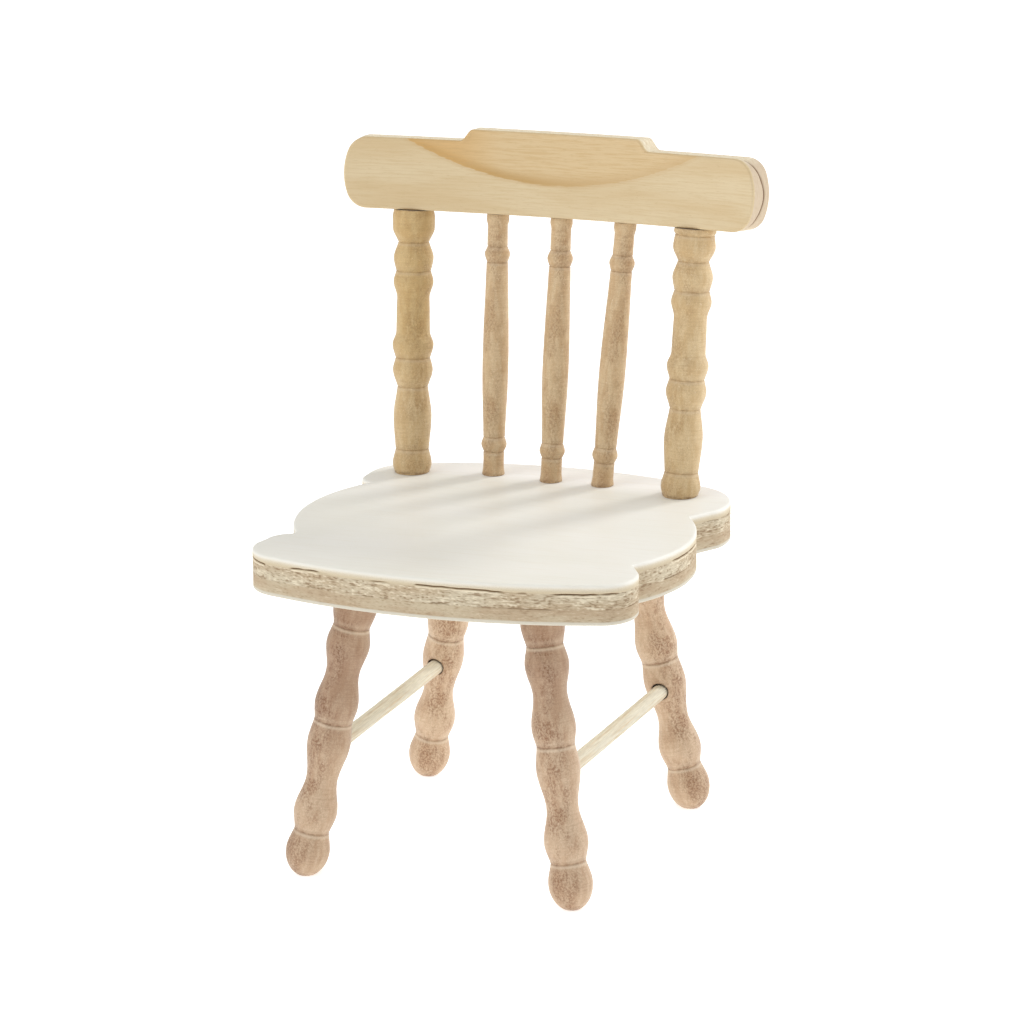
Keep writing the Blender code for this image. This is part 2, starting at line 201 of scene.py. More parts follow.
def points_of(piece):
    """A mesh's points in millimetres, as an (n, 3) array."""
    points = np.empty(len(piece.data.vertices) * 3)
    piece.data.vertices.foreach_get("co", points)
    return points.reshape(-1, 3) / MM


def set_values(piece, name, values):
    """Gives each point of a mesh a number or a vector that its material reads by name."""
    values = np.asarray(values, np.float32)
    kind, key = ("FLOAT", "value") if values.ndim == 1 else ("FLOAT_VECTOR", "vector")
    attribute = piece.data.attributes.new(name, kind, "POINT")
    attribute.data.foreach_set(key, values.ravel())


def ring_faces(rings, count, first=0):
    """The faces of a tube of closed rings, each with this many points, numbered from the first."""
    faces = []
    for low in range(first, first + (rings - 1) * count, count):
        high = low + count
        for step in range(count):
            after = (step + 1) % count
            faces.append((low + step, low + after, high + after, high + step))
    return faces


def drilled(piece, holes, segments=40):
    """Cuts round holes, each as (radius, start, end) in millimetres, and keeps the result."""
    points = []
    faces = []
    for radius, start, end in holes:
        turn = np.array((end - start).to_track_quat("Z", "Y").to_matrix())
        ring = arc(0.0, 0.0, radius, 0.0, 360.0, segments)[:-1] @ turn[:, :2].T
        first = len(points)
        points += [*(ring + np.array(start)), *(ring + np.array(end))]
        faces += ring_faces(2, segments, first)
        faces.append(tuple(range(first + segments - 1, first - 1, -1)))
        faces.append(tuple(range(first + segments, first + 2 * segments)))
    cutter = mesh_object("cutter", points, faces)
    modifier = piece.modifiers.new("holes", "BOOLEAN")
    modifier.operation = "DIFFERENCE"
    modifier.solver = "EXACT"
    modifier.object = cutter
    depsgraph = bpy.context.evaluated_depsgraph_get()
    cut = bpy.data.meshes.new_from_object(piece.evaluated_get(depsgraph), depsgraph=depsgraph)
    whole = piece.data
    piece.modifiers.clear()
    piece.data = cut
    cut.name = piece.name
    bpy.data.meshes.remove(whole)
    bpy.data.objects.remove(cutter, do_unlink=True)


def finish_piece(piece, node, material, sharp_degrees=38.0):
    """Shades a piece, gives it its material and puts it in the place of its CAD node."""
    piece.data.shade_smooth()
    piece.data.set_sharp_from_angle(angle=math.radians(sharp_degrees))
    piece.data.materials.clear()
    piece.data.materials.append(material)
    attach(piece, "root")
    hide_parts(node)


# ---- turned pieces


def pin_end(node, upwards):
    """The middle of the flat end of a node's pin, and the way that the pin points."""
    points = np.unique(np.round(points_of(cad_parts[node]), 4), axis=0)
    way = np.linalg.svd(points - points.mean(0), full_matrices=False)[2][0]
    way *= np.sign(way @ np.array(upwards))
    reach = points @ way
    ring = points[reach > reach.max() - 0.5]
    middle = ring.mean(0)
    normal = np.linalg.svd(ring - middle)[2][2]
    normal *= np.sign(normal @ way)
    return Vector(middle), Vector(normal)


def turning_between(low, high):
    """Fine points of a profile between two turnings, both ends left out."""
    low_z, low_radius, low_kind = low
    high_z, high_radius, high_kind = high
    steps = max(4, math.ceil((high_z - low_z) / PROFILE_STEP))
    share = np.arange(1, steps) / steps
    blend = (1 - np.cos(share * math.pi)) / 2
    if low_kind == "tip":
        share = 1 - np.cos(share * math.pi / 2)
        blend = np.sqrt(1 - (1 - share) ** 2)
    elif low_kind in ("groove", "step"):
        blend = (blend + 1 - (1 - share) ** 2) / 2
    elif high_kind in ("groove", "step"):
        blend = (blend + share ** 2) / 2
    return zip(low_z + (high_z - low_z) * share, low_radius + (high_radius - low_radius) * blend)


def profile_points(turnings):
    """The whole fine profile as (height, radius) pairs, and the heights of its grooves."""
    points = []
    grooves = []
    for low, high in zip(turnings, turnings[1:]):
        low_z, high_z = low[0], high[0]
        if low[2] == "groove":
            low_z += GROOVE_HALF_WIDTH
        if high[2] == "groove":
            high_z -= GROOVE_HALF_WIDTH
            grooves.append(high[0])
        start = (low_z, *low[1:])
        end = (high_z, *high[1:])
        points.append(start[:2])
        points += turning_between(start, end)
        points.append(end[:2])
        if high[2] == "groove":
            points.append((high[0], high[1] - GROOVE_DEPTH))
    return [point for point, last in zip(points, [None] + points) if point != last], grooves


def turned(name, foot, axis, profile, landings, segments, seed, wobble=1.0):
    """A turned piece and the turn of its own frame, with its ends cut to the planes they meet.

    foot is the profile's zero, and axis the way up it. landings is two (height, plane point,
    plane normal, reach): around that height, and fading out over reach, the points slide along
    the axis so that the end lies in the plane.
    """
    turn = axis.to_track_quat("Z", "Y").to_matrix()
    heights, radii = np.array(profile).T
    angles = np.arange(segments) * 2 * math.pi / segments
    height, angle = np.meshgrid(heights, angles, indexing="ij")
    radius = np.repeat(radii[:, None], segments, axis=1)
    round_x, round_y = np.cos(angle), np.sin(angle)

    marks = np.stack((height * TOOL_MARKS_PER_MM, height * 0, height * 0), -1).reshape(-1, 3) + 7.3
    relief = TOOL_MARK_DEPTH * noise(marks, seed + 9).reshape(height.shape)
    for which, (depth, across, along) in enumerate(TURNED_RELIEF, 1):
        waves = np.stack((round_x * across, round_y * across, height * along), -1)
        waves = noise(waves.reshape(-1, 3) + 31.7 * which, seed + which)
        relief += depth * waves.reshape(height.shape)
    radius = np.maximum(radius + relief * wobble * np.clip(radius, 0.0, 1.0), 0.0)

    spots = np.stack((radius * round_x, radius * round_y, height), -1)
    frame_turn = np.array(turn)
    radial = spots[..., :2] @ frame_turn[:, :2].T
    way = np.array(axis)
    for at, plane_point, plane_normal, reach in landings:
        normal = np.array(plane_normal)
        base = (np.array(plane_point) - np.array(foot)) @ normal
        slide = (base - radial @ normal) / (way @ normal) - at
        beyond = (height - at) * np.sign(at - height.mean())
        spots[..., 2] += slide * np.where(beyond > 1e-6, 0.0, np.clip(1 + beyond / reach, 0.0, 1.0))
    world = spots @ frame_turn.T + np.array(foot)
    world[..., 2] = np.maximum(world[..., 2], FLOOR)

    rings = len(heights)
    points = world.reshape(-1, 3).tolist()
    faces = ring_faces(rings, segments)
    for ring, flip in ((0, True), (rings - 1, False)):
        middle = world[ring].mean(0)
        points.append(middle.tolist())
        for step in range(segments):
            after = (step + 1) % segments
            face = (ring * segments + step, ring * segments + after, len(points) - 1)
            faces.append(face[::-1] if flip else face)
    return mesh_object(name, points, faces), turn


def mark_turned(piece, foot, turn, grooves, ends, fleck_turn, groove_shading=1.0, darker_top=None, painted_shade=0.0):
    """Gives a turned piece its grain coordinates, the painted shade in its grooves and at its ends,
    and the painted highlights beside its grooves.

    The second last argument is (share, height, reach): how much darker the piece is, all of it
    from that height up. On the front legs this is a painted shadow of the seat.
    The last argument is the painted shade there is elsewhere, such as round a leg's socket.
    """
    local = (points_of(piece) - np.array(foot)) @ np.array(turn)
    set_values(piece, "grain", local @ np.array(Matrix.Rotation(fleck_turn, 3, "Z")))
    up = local[:, 2]
    painted_shade = painted_shade + np.zeros(len(up))
    painted_highlight = np.zeros(len(up))
    # Painted shade at each groove: a dark line on its upper wall, which faces down, and a soft wider
    # darkening round it.
    for height in grooves:
        off = up - height
        painted_shade = np.maximum(painted_shade, groove_shading * bell(off - 0.1, 0.08))
        painted_shade = np.maximum(painted_shade, 0.25 * bell(off, 0.4))
        # Painted highlight: a light band on the upward-facing wall below each groove, and a fainter
        # one above it.
        painted_highlight = np.maximum(painted_highlight, bell(off + 0.24, 0.18))
        painted_highlight = np.maximum(painted_highlight, 0.25 * bell(off - 0.55, 0.25))
    # Painted shade at each end, where the piece meets the seat, the rail or a leg.
    for height, reach in ends:
        painted_shade = np.maximum(painted_shade, 0.8 * bell(up - height, reach))
    set_values(piece, "painted_shade", painted_shade)
    set_values(piece, "painted_highlight", painted_highlight * groove_shading)
    # Darker towards the top; on the front legs this is a painted shadow of the seat.
    share, height, reach = darker_top or (0.0, 0.0, 1.0)
    darker = DARKER_TOP_AT_FOOT + (1 - DARKER_TOP_AT_FOOT) * smooth_step(up, height - reach, height)
    set_values(piece, "darker_top", share * darker)


def view_turn(turn, degrees):
    """The angle in a turned piece's own frame of a compass direction in the chair's frame."""
    way = Vector((math.sin(math.radians(degrees)), -math.cos(math.radians(degrees)), 0.0))
    local = turn.transposed() @ way
    return math.atan2(local.y, local.x)


# ---- boards


def arc(centre_x, centre_y, radius, start_degrees, end_degrees, steps):
    """Points along a round stretch, both ends included."""
    angles = np.radians(np.linspace(start_degrees, end_degrees, steps + 1))
    return np.stack((centre_x + radius * np.cos(angles), centre_y + radius * np.sin(angles)), -1)


def bulge(start, end, height, steps):
    """Points along a shallow arc between two points, which stands out to the right of the way."""
    start, end = np.array(start), np.array(end)
    chord = end - start
    half = np.linalg.norm(chord) / 2
    radius = (half ** 2 + height ** 2) / (2 * height)
    along = chord / (2 * half)
    outward = np.array((along[1], -along[0]))
    centre = (start + end) / 2 - outward * (radius - height)
    angles = math.asin(half / radius) * np.linspace(-1, 1, steps + 1)[:, None]
    return centre + outward * radius * np.cos(angles) + along * radius * np.sin(angles)


def seat_side(side):
    """One side of the seat from its front corner to its rear corner, as if on the right."""
    return np.concatenate((
        arc(*FRONT_CORNER[side], -FRONT_CORNER_SWEEP, 0, CORNER_STEPS),
        arc(*FRONT_SHOULDER[side], 0, FRONT_SHOULDER_SWEEP[side], SHOULDER_STEPS),
        bulge(FRONT_NOTCH[side], REAR_NOTCH[side], SIDE_LOBE_BULGE, EDGE_STEPS),
        arc(*REAR_SHOULDER[side], -REAR_SHOULDER_SWEEP[side], 0, SHOULDER_STEPS),
        arc(*REAR_CORNER[side], 0, REAR_CORNER_SWEEP, CORNER_STEPS),
    ))


def seat_outline():
    """The seat's edge as seen from above, anticlockwise, from its left rear notch."""
    right = seat_side("right")
    left = seat_side("left")[::-1] * (-1, 1)
    back = bulge(right[-1], left[0], BACK_EDGE_BULGE, EDGE_STEPS)[1:-1]
    front = bulge(left[-1], right[0], FRONT_EDGE_BULGE, EDGE_STEPS)[1:-1]
    whole = np.concatenate((right, back, left, front))
    notch = np.array(REAR_NOTCH["left"]) * (-1, 1)
    start = np.linalg.norm(whole - notch, axis=1).argmin()
    return np.roll(whole, -start, axis=0) - BOX_MIDDLE


def rail_top(along):
    """The rail's height at distances from its middle, before its corners are rounded."""
    slope = RAISED_SLOPE_END - RAISED_HALF_LENGTH
    share = np.clip((np.abs(along) - RAISED_HALF_LENGTH) / slope, 0, 1)
    drop = RAIL_RAISED_HEIGHT - RAIL_SHOULDER_HEIGHT
    return RAIL_RAISED_HEIGHT - drop * (1 - np.cos(share * math.pi)) / 2


def rail_outline():
    """The rail's edge as seen from the front, anticlockwise: along its bend and up its face."""
    radius = RAIL_CORNER_RADIUS
    lean = math.radians(90 - RAIL_CORNER_SWEEP)
    reach = radius * math.cos(lean)
    half_chord = RAIL_SHOULDER_HEIGHT / 2 - radius * (1 - math.sin(lean))
    bow = half_chord * math.tan(lean / 2)
    centre = RAIL_HALF_LENGTH - bow - reach
    upper = RAIL_SHOULDER_HEIGHT - radius
    low = arc(centre, radius, radius, -90, -90 + RAIL_CORNER_SWEEP, RAIL_CORNER_STEPS)
    high = arc(centre, upper, radius, 90 - RAIL_CORNER_SWEEP, 90, RAIL_CORNER_STEPS)
    right = np.concatenate((low, bulge(low[-1], high[0], bow, RAIL_END_STEPS)[1:-1], high))
    alongs = np.linspace(centre, -centre, RAIL_TOP_STEPS + 1)[1:-1]
    top = np.stack((alongs, rail_top(alongs)), -1)
    left = right[::-1] * (-1, 1)
    alongs = np.linspace(-centre, centre, RAIL_BOTTOM_STEPS + 1)[1:-1]
    bottom = np.stack((alongs, alongs * 0), -1)
    return np.concatenate((right, top, left, bottom))


def even_loop(outline, spacing):
    """A closed outline resampled at an even spacing, with its outward normals and distances."""
    keep = np.linalg.norm(outline - np.roll(outline, 1, 0), axis=1) > 1e-6
    outline = outline[keep]
    closed = np.concatenate((outline, outline[:1]))
    lengths = np.concatenate(((0.0,), np.cumsum(np.linalg.norm(np.diff(closed, axis=0), axis=1))))
    count = round(lengths[-1] / spacing)
    places = np.arange(count) * lengths[-1] / count
    loop = np.stack([np.interp(places, lengths, closed[:, axis]) for axis in (0, 1)], -1)
    ahead = np.roll(loop, -1, 0) - np.roll(loop, 1, 0)
    normals = np.stack((ahead[:, 1], -ahead[:, 0]), -1)
    normals /= np.linalg.norm(normals, axis=1)[:, None]
    return loop, normals, places


def inside_loop(points, loop, margin):
    """Which points lie inside a loop and at least a margin from it."""
    after = np.roll(loop, -1, 0)
    within = np.zeros(len(points), bool)
    near = np.full(len(points), np.inf)
    for start, end in zip(loop, after):
        crosses = (start[1] > points[:, 1]) != (end[1] > points[:, 1])
        if start[1] != end[1]:
            share = (points[:, 1] - start[1]) / (end[1] - start[1])
            within ^= crosses & (points[:, 0] < start[0] + share * (end[0] - start[0]))
        near = np.minimum(near, np.hypot(*(points - start).T))
    return within & (near > margin)


TOP_ARRIS_STEPS = 6
BOTTOM_ARRIS_STEPS = 5


def wall_stations(thickness, top_arris, bottom_arris, spacing):
    """(inset, depth) pairs down a board's edge, round at both arrises."""
    low, high = top_arris, thickness - bottom_arris
    depths = np.linspace(low, high, math.ceil((high - low) / spacing) + 1)
    above = np.linspace(0, math.pi / 2, TOP_ARRIS_STEPS + 1)[:-1]
    below = np.linspace(0, math.pi / 2, BOTTOM_ARRIS_STEPS + 1)[1:]
    return np.concatenate((
        top_arris * (1 - np.column_stack((np.sin(above), np.cos(above)))),
        np.column_stack((depths * 0, depths)),
        np.column_stack((bottom_arris * (1 - np.cos(below)), high + bottom_arris * np.sin(below))),
    ))


def board(name, outline, stations, spacing, grid, relief, face_relief, place):
    """A board's mesh: an edge wall with relief(distance, depth), and two gridded faces.

    place turns (across, up, depth) arrays into points in the chair's frame.
    """
    loop, normals, distances = even_loop(outline, spacing)
    count = len(loop)
    rings = []
    for inset, depth in stations:
        cut = inset + relief(distances, np.full(count, depth), loop)
        ring = loop - normals * cut[:, None]
        rings.append(np.column_stack((ring, np.full(count, depth))))
    flat = np.concatenate(rings)
    faces = [face[:1] + face[:0:-1] for face in ring_faces(len(rings), count)]
    low, high = loop.min(0), loop.max(0)
    across = np.arange(low[0], high[0], grid)
    rows = np.arange(low[1], high[1], grid)
    spots = np.stack(np.meshgrid(across, rows), -1).reshape(-1, 2)
    for ring, top in ((0, True), (len(rings) - 1, False)):
        rim = rings[ring][:, :2]
        inner = spots[inside_loop(spots, rim, grid * 0.6)]
        both = np.concatenate((rim, inner))
        edges = [(step, (step + 1) % count) for step in range(count)]
        found = delaunay_2d_cdt([Vector(spot) for spot in both.tolist()], edges, [], 1, 1e-9)
        sources = [source[0] for source in found[3]]
        first = len(flat)
        depth = rings[ring][0, 2]
        sunk = face_relief(inner, top)
        flat = np.concatenate((flat, np.column_stack((inner, depth + sunk))))
        ids = [source + (ring * count if source < count else first - count) for source in sources]
        for face in found[2]:
            a, b, c = (both[sources[corner]] for corner in face)
            anticlockwise = (b[0] - a[0]) * (c[1] - a[1]) > (b[1] - a[1]) * (c[0] - a[0])
            corners = [ids[corner] for corner in face]
            faces.append(tuple(corners if anticlockwise == top else corners[::-1]))
    return mesh_object(name, place(*flat.T), faces), (loop, distances)


BATCH = 4000


def edge_distance(spots, loop, distances):
    """For each (across, up) spot, the way round to the nearest loop point and how far off it is."""
    along = np.empty(len(spots))
    off = np.empty(len(spots))
    for start in range(0, len(spots), BATCH):
        batch = slice(start, start + BATCH)
        part = spots[batch]
        gaps = np.hypot(part[:, None, 0] - loop[None, :, 0], part[:, None, 1] - loop[None, :, 1])
        nearest = gaps.argmin(1)
        along[batch] = distances[nearest]
        off[batch] = gaps[np.arange(len(part)), nearest]
    return along, off


# Plies of the seat, as depths below its top: a veneer, a rough core, a smoother ply and a veneer.
TOP_VENEER = 1.05
GLUE_LINE = 2.95
LOWER_VENEER = 4.45
CORE_INSET = 0.04
STRAND_RELIEF = 0.06
SAW_WAVE = 0.02
SPLIT_DEPTH = 0.2
SPLIT_HALF_WIDTH = 0.09
GLUE_SPLIT_HALF_WIDTH = 0.07
# Where the painted highlight under the top split lies, and how wide it is.
LIP_DROP = 0.26
LIP_HALF_WIDTH = 0.12
SEAT_TOP_ARRIS = 0.36
SEAT_BOTTOM_ARRIS = 0.22


def seat_split(distance):
    """The split under the top veneer: its noise line, how far it wanders and how open it is."""
    line = np.stack((distance * 0.16, distance * 0, distance * 0 + 4.4), -1)
    wander = 0.3 * noise(line + 2.0, 21) + 0.05 * noise(line * 6, 29)
    opened = smooth_step(noise(line * 1.8, 22) + 0.3 * noise(line * 5, 23), -0.3, 0.25)
    return line, wander, 0.12 + 0.88 * opened


def seat_lip_highlight(distance, depth):
    """The painted highlight on the torn lip under that split."""
    _, wander, opened = seat_split(distance)
    return bell(depth - TOP_VENEER - wander - LIP_DROP, LIP_HALF_WIDTH) * opened


def seat_crack(distance, depth):
    """How open the splits under the top veneer and at the glue line are, from 0 to 1."""
    line, wander, opened = seat_split(distance)
    upper = bell(depth - TOP_VENEER - wander, SPLIT_HALF_WIDTH) * opened
    lower_open = 0.1 + 0.9 * smooth_step(noise(line * 2.6 + 9.0, 24), -0.1, 0.5)
    lower = bell(depth - GLUE_LINE - wander * 0.5, GLUE_SPLIT_HALF_WIDTH) * lower_open
    return np.maximum(upper, lower * 0.65)


def seat_core(depth):
    """1 where the rough core shows, less on the ply below it, and 0 on both veneers."""
    core = smooth_step(depth, TOP_VENEER - 0.05, TOP_VENEER + 0.1)
    core *= 1 - 0.4 * smooth_step(depth, GLUE_LINE, GLUE_LINE + 0.15)
    return core * (1 - smooth_step(depth, LOWER_VENEER - 0.05, LOWER_VENEER + 0.1))


def edge_noise(distance, depth, level, seed):
    """Noise over a board's sawn edge, from how far along it and how deep a place is."""
    return noise(np.stack((distance, depth, depth * 0 + level), -1), seed)


def seat_pits(distance, depth):
    """The torn strands of the core, from -1 on a ridge to 1 in a pit."""
    strands = edge_noise(distance * 0.9, depth * 8.0, 0.0, 25)
    return 0.45 * strands + 0.6 * edge_noise(distance * 3.6, depth * 9.0, 3.0, 26)


def seat_relief(distance, depth, _spots):
    """How far the sawn edge lies inside its outline."""
    saw = SAW_WAVE * edge_noise(distance * 0.5, depth * 0.3, 8.0, 27)
    rough = CORE_INSET + STRAND_RELIEF * seat_pits(distance, depth)
    return saw + seat_core(depth) * rough + SPLIT_DEPTH * seat_crack(distance, depth)


def seat_face(spots, top):
    """How far the seat's faces sink: a very slight sanding wave."""
    wave = np.column_stack((spots * 0.1, np.full(len(spots), 5.0 if top else 9.0)))
    return noise(wave, 28) * 0.012 * (1 if top else -1)


# The rail's split, as a depth behind its face. It bows back on both ends.
RAIL_SPLIT = 1.1
RAIL_SPLIT_BOW = 1.5
RAIL_SPLIT_HALF_WIDTH = 0.17
RAIL_END = 25.0
RAIL_ARRIS = 0.25


def rail_crack(distance, depth, spots):
    """How open the rail's split is: wide on its ends, and a thin line elsewhere."""
    line = np.stack((distance * 0.2, depth * 0, depth * 0 + 2.2), -1)
    end = smooth_step(np.abs(spots[:, 0]), RAIL_END - 1.0, RAIL_END + 1.2)
    bow = RAIL_SPLIT_BOW * np.sin(np.clip(spots[:, 1] / RAIL_SHOULDER_HEIGHT, 0, 1) * math.pi) * end
    wander = 0.15 * noise(line * 2.5, 31)
    opened = 0.06 + 0.94 * end * (0.75 + 0.25 * noise(line * 4.0, 32))
    return bell(depth - RAIL_SPLIT - bow - wander, RAIL_SPLIT_HALF_WIDTH) * opened


def rail_relief(distance, depth, spots):
    """How far the rail's sanded edge lies inside its outline."""
    below = RAIL_THICKNESS - depth
    middle = smooth_step(depth, 0.3, 0.7) * smooth_step(below, 0.2, 0.6)
    sanded = middle * (0.012 + 0.018 * edge_noise(distance * 0.9, depth * 5.0, 6.0, 33))
    return sanded + SPLIT_DEPTH * rail_crack(distance, depth, spots)


def above_hollow(along, height):
    """How far above the hollow's lower edge a place on the rail's face is."""
    return height - (HOLLOW_LOWEST + HOLLOW_RISE * along ** 2)


def rail_face(spots, top):
    """How far the rail's faces sink: the planed hollow on the front one."""
    wave = np.column_stack((spots * (0.1, 0.3), np.full(len(spots), 2.0 if top else 6.0)))
    waves = noise(wave, 34) * 0.015
    if not top:
        return -waves
    return waves + HOLLOW_DEPTH * smooth_step(above_hollow(*spots.T), 0.0, HOLLOW_SLOPE)


# ---- materials


def colour(*display_values):
    """A display colour, each value from 0 to 255, as the linear colour that a shader works in."""
    shares = np.array(display_values) / 255
    values = np.where(shares <= 0.04045, shares / 12.92, ((shares + 0.055) / 1.055) ** 2.4)
    return (*values.tolist(), 1.0)


class Material:
    """One material, with short names for the nodes that its pattern is made of."""

    def __init__(self, name, look):
        self.material = bpy.data.materials.new(name)
        self.material.use_nodes = True
        self.tree = self.material.node_tree
        self.shader = self.tree.nodes["Principled BSDF"]
        for key, value in look.items():
            self.shader.inputs[key].default_value = value

    def node(self, kind, inputs, **settings):
        """Adds a node, sets it up, and links or sets its inputs, which are given by place or name."""
        made = self.tree.nodes.new("ShaderNode" + kind)
        for key, value in settings.items():
            setattr(made, key, value)
        for key, value in inputs.items():
            if isinstance(value, bpy.types.NodeSocket):
                self.tree.links.new(value, made.inputs[key])
            else:
                made.inputs[key].default_value = value
        return made

    def value(self, name):
        """A mesh's number of this name."""
        return self.node("Attribute", {}, attribute_name=name).outputs["Fac"]

    def vector(self, name):
        """A mesh's vector of this name."""
        return self.node("Attribute", {}, attribute_name=name).outputs["Vector"]

    def noise(self, vector, scale, detail=2.0, roughness=0.5):
        """Noise from 0 to 1."""
        scaled = self.node("VectorMath", {0: vector, 1: scale}, operation="MULTIPLY").outputs[0]
        inputs = {"Vector": scaled, "Scale": 1.0, "Detail": detail, "Roughness": roughness}
        return self.node("TexNoise", inputs).outputs["Fac"]

    def math(self, operation, first, second=0.0):
        """One sum."""
        return self.node("Math", {0: first, 1: second}, operation=operation).outputs[0]

    def ramp(self, value, low, high, start=0.0, end=1.0):
        """Start below low, end above high, and a soft way between them."""
        inputs = {"Value": value, "From Min": low, "From Max": high, "To Min": start, "To Max": end}
        return self.node("MapRange", inputs, interpolation_type="SMOOTHSTEP").outputs[0]

    def mix(self, share, first, second, blend="MIX"):
        """Two colours mixed."""
        made = self.node("Mix", {0: share, 6: first, 7: second}, data_type="RGBA", blend_type=blend)
        return made.outputs[2]

    def between(self, value, low, high, first, second):
        """The first colour where the value is below low, and the second above high."""
        return self.mix(self.ramp(value, low, high), colour(*first), colour(*second))

    def over(self, base, value, low, high, amount, tint):
        """A colour with an amount of a tint over it where the value is beyond high."""
        return self.mix(self.ramp(value, low, high, 0.0, amount), base, colour(*tint))

    def parts(self, vector):
        """A vector's three numbers."""
        return self.node("SeparateXYZ", {0: vector}).outputs

    def times(self, first, second):
        """Two numbers multiplied."""
        return self.math("MULTIPLY", first, second)

    def shaded(self, base, share):
        """A colour made darker or lighter by a noise that is 0.5 on average."""
        grey = self.mix(self.ramp(share, 0.2, 0.8), (0.86, 0.85, 0.83, 1.0), (1.1, 1.1, 1.1, 1.0))
        return self.mix(1.0, base, grey, "MULTIPLY")

    def finish(self, base, roughness, height, distance, strength=0.5):
        """Links the colour, roughness and bump to the shader."""
        bump = self.node("Bump", {"Strength": strength, "Distance": distance * MM, "Height": height})
        self.tree.links.new(base, self.shader.inputs["Base Color"])
        self.tree.links.new(roughness, self.shader.inputs["Roughness"])
        self.tree.links.new(bump.outputs[0], self.shader.inputs["Normal"])
        return self.material


# Turned woods, as (light, dark, flecks, how strong the flecks are, what the darker tops are
# multiplied by; on the front legs that darkening is a painted shadow of the seat).
TURNED_WOODS = {
    "leg_wood": ((213, 189, 161), (198, 169, 140), (144, 105, 76), 0.8, (0.68, 0.62, 0.6, 1.0)),
    "post_wood": ((214, 190, 149), (203, 175, 131), (158, 122, 82), 0.4, (0.86, 0.8, 0.62, 1.0)),
    "spindle_wood": ((214, 190, 153), (200, 170, 131), (152, 114, 82), 0.5, (0.8, 0.8, 0.8, 1.0)),
}


def turned_wood(name):
    """Bare turned hardwood: soft grain, dark flecks that crowd on two sides, painted shade in the
    grooves and at the joints, painted highlights beside the grooves, and a darker top.
    """
    light, dark, fleck, fleck_share, shade = TURNED_WOODS[name]
    look = {"Specular IOR Level": 0.3, "Sheen Weight": 0.3, "Sheen Roughness": 0.35}
    wood = Material(name, look)
    grain = wood.vector("grain")
    long_grain = wood.noise(grain, (1.1, 1.1, 0.28), 4.0, 0.6)
    patches = wood.noise(grain, (0.5, 0.5, 0.3), 3.0, 0.6)
    grains = wood.noise(grain, (4.6, 4.6, 3.6), 3.0, 0.75)
    fine = wood.noise(grain, (9.0, 9.0, 8.0), 2.0, 0.7)
    rings = wood.noise(grain, (0.3, 0.3, 7.0), 2.0, 0.6)
    x, y, _ = wood.parts(grain)
    across = wood.times(x, x)
    round_way = wood.math("ADD", across, wood.times(y, y))
    side = wood.math("DIVIDE", across, wood.math("ADD", round_way, 0.01))
    strip = wood.ramp(side, 0.15, 0.9, 0.25, 1.0)
    crowd = wood.times(strip, wood.ramp(patches, 0.38, 0.62, 0.15, 1.0))
    amount = wood.times(wood.ramp(grains, 0.47, 0.57), crowd)
    base = wood.between(long_grain, 0.35, 0.65, light, dark)
    base = wood.mix(wood.times(crowd, fleck_share * 0.3), base, colour(*fleck))
    base = wood.mix(wood.times(amount, fleck_share), base, colour(*fleck))
    base = wood.over(base, grains, 0.4, 0.28, 0.5, (232, 216, 190))
    base = wood.shaded(base, fine)
    base = wood.over(base, rings, 0.45, 0.7, 0.16, fleck)
    # Darker towards the top: on the front legs a painted shadow of the seat.
    base = wood.mix(wood.value("darker_top"), base, wood.mix(1.0, base, shade, "MULTIPLY"))
    # Painted highlight beside the grooves.
    base = wood.mix(wood.times(wood.value("painted_highlight"), 0.5), base, colour(230, 213, 188))
    # Painted shade, broken up by noise, in the grooves, at the joints and round the sockets.
    broken = wood.ramp(wood.noise(grain, (1.6, 1.6, 1.6)), 0.35, 0.62, 0.1, 0.8)
    painted_shade = wood.times(wood.value("painted_shade"), broken)
    base = wood.mix(painted_shade, base, colour(118, 84, 56))
    height = wood.math("SUBTRACT", fine, amount)
    return wood.finish(base, wood.ramp(fine, 0.2, 0.8, 0.5, 0.72), height, 0.03)


def dowel_wood():
    """A pale dowel with long straight streaks."""
    wood = Material("dowel_wood", {"Specular IOR Level": 0.3})
    grain = wood.vector("grain")
    streaks = wood.noise(grain, (2.2, 2.2, 0.07), 4.0, 0.65)
    fine = wood.noise(grain, (9.0, 9.0, 0.6))
    base = wood.between(streaks, 0.45, 0.75, (213, 206, 187), (199, 174, 135))
    base = wood.shaded(base, fine)
    # Painted shade at the ends, where the dowel goes into the legs.
    base = wood.mix(wood.times(wood.value("painted_shade"), 0.8), base, colour(120, 84, 52))
    return wood.finish(base, wood.ramp(fine, 0.2, 0.8, 0.45, 0.65), streaks, 0.03)


